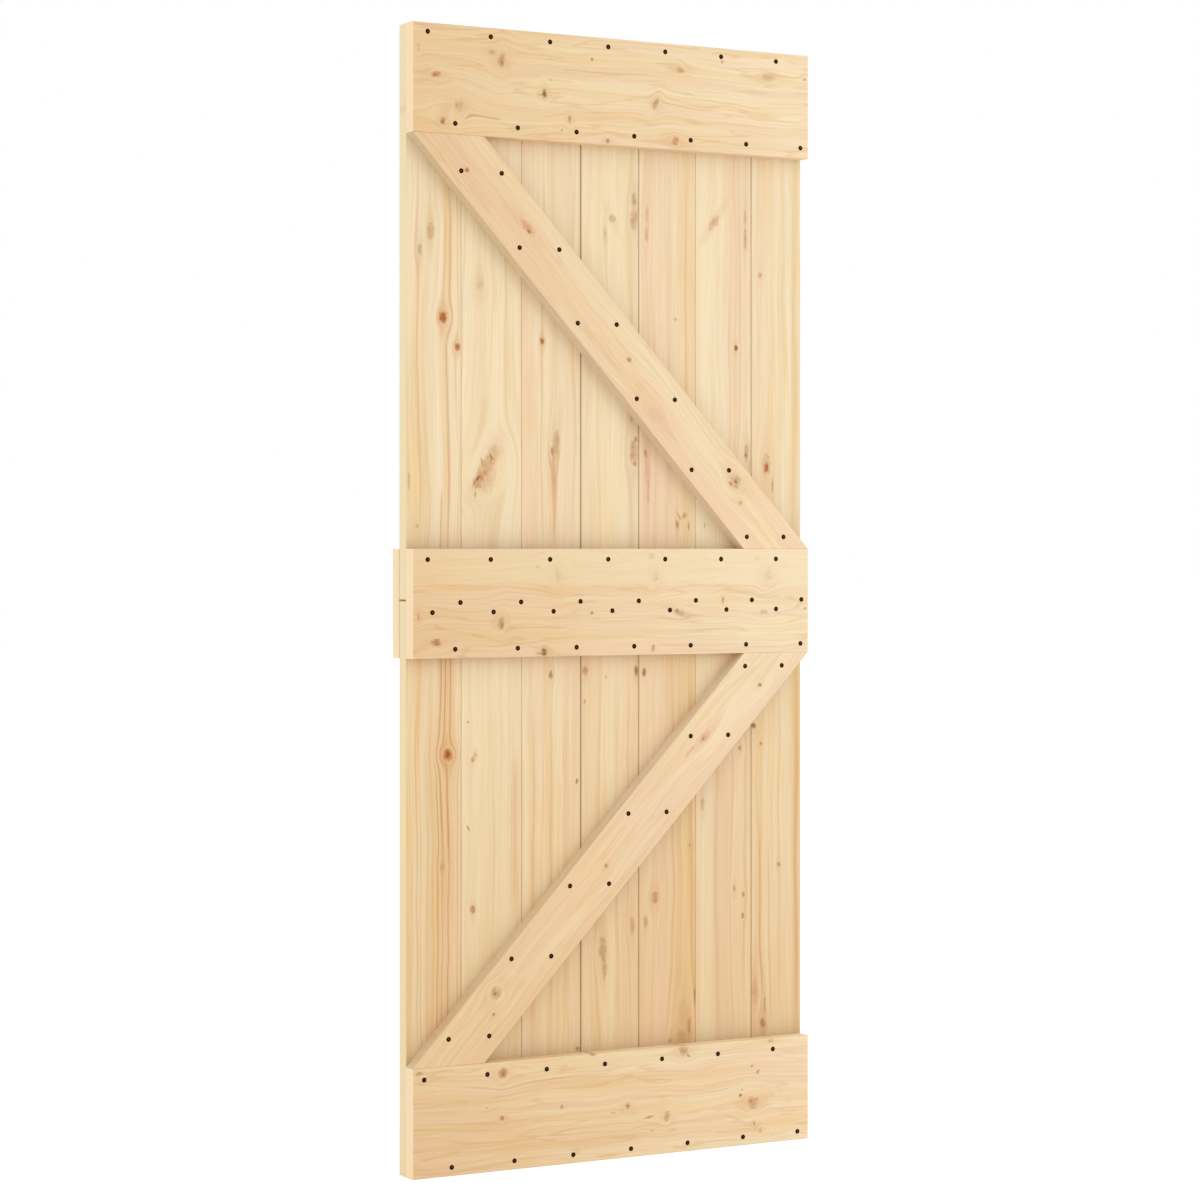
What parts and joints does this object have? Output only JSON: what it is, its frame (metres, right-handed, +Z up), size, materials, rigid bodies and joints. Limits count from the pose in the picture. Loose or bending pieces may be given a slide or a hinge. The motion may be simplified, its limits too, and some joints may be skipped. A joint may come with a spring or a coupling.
{
  "type": "barn door leaf",
  "caption": "Sliding barn door leaf in pale softwood: upright tongue and groove boards under level rails and slanting braces, held by dark countersunk screws.",
  "frame": {"origin": "on the floor, below the middle of the leaf's width and of its depth", "axes": "+X to the right as seen from the front, +Y from the front to the back, +Z up"},
  "size_m": [0.85, 0.084, 2.1],
  "materials": {
    "board_wood": "planed softwood, clear matt oil",
    "rail_wood": "planed softwood, clear matt oil",
    "brace_wood": "planed softwood, clear matt oil",
    "screw_steel": "dark brown coated steel, matt"
  },
  "bodies": {
    "root": {"upper_board_1": "board_wood", "upper_board_2": "board_wood", "upper_board_3": "board_wood", "upper_board_4": "board_wood", "upper_board_5": "board_wood", "upper_board_6": "board_wood", "upper_board_7": "board_wood", "lower_board_1": "board_wood", "lower_board_2": "board_wood", "lower_board_3": "board_wood", "lower_board_4": "board_wood", "lower_board_5": "board_wood", "lower_board_6": "board_wood", "lower_board_7": "board_wood", "top_rail": "rail_wood", "middle_rail": "rail_wood", "bottom_rail": "rail_wood", "back_rail": "rail_wood", "upper_brace": "brace_wood", "lower_brace": "brace_wood", "top_rail_screws": "screw_steel", "middle_rail_screws": "screw_steel", "bottom_rail_screws": "screw_steel", "upper_brace_screws": "screw_steel", "lower_brace_screws": "screw_steel", "tie_screws": "screw_steel"}
  },
  "joints": []
}
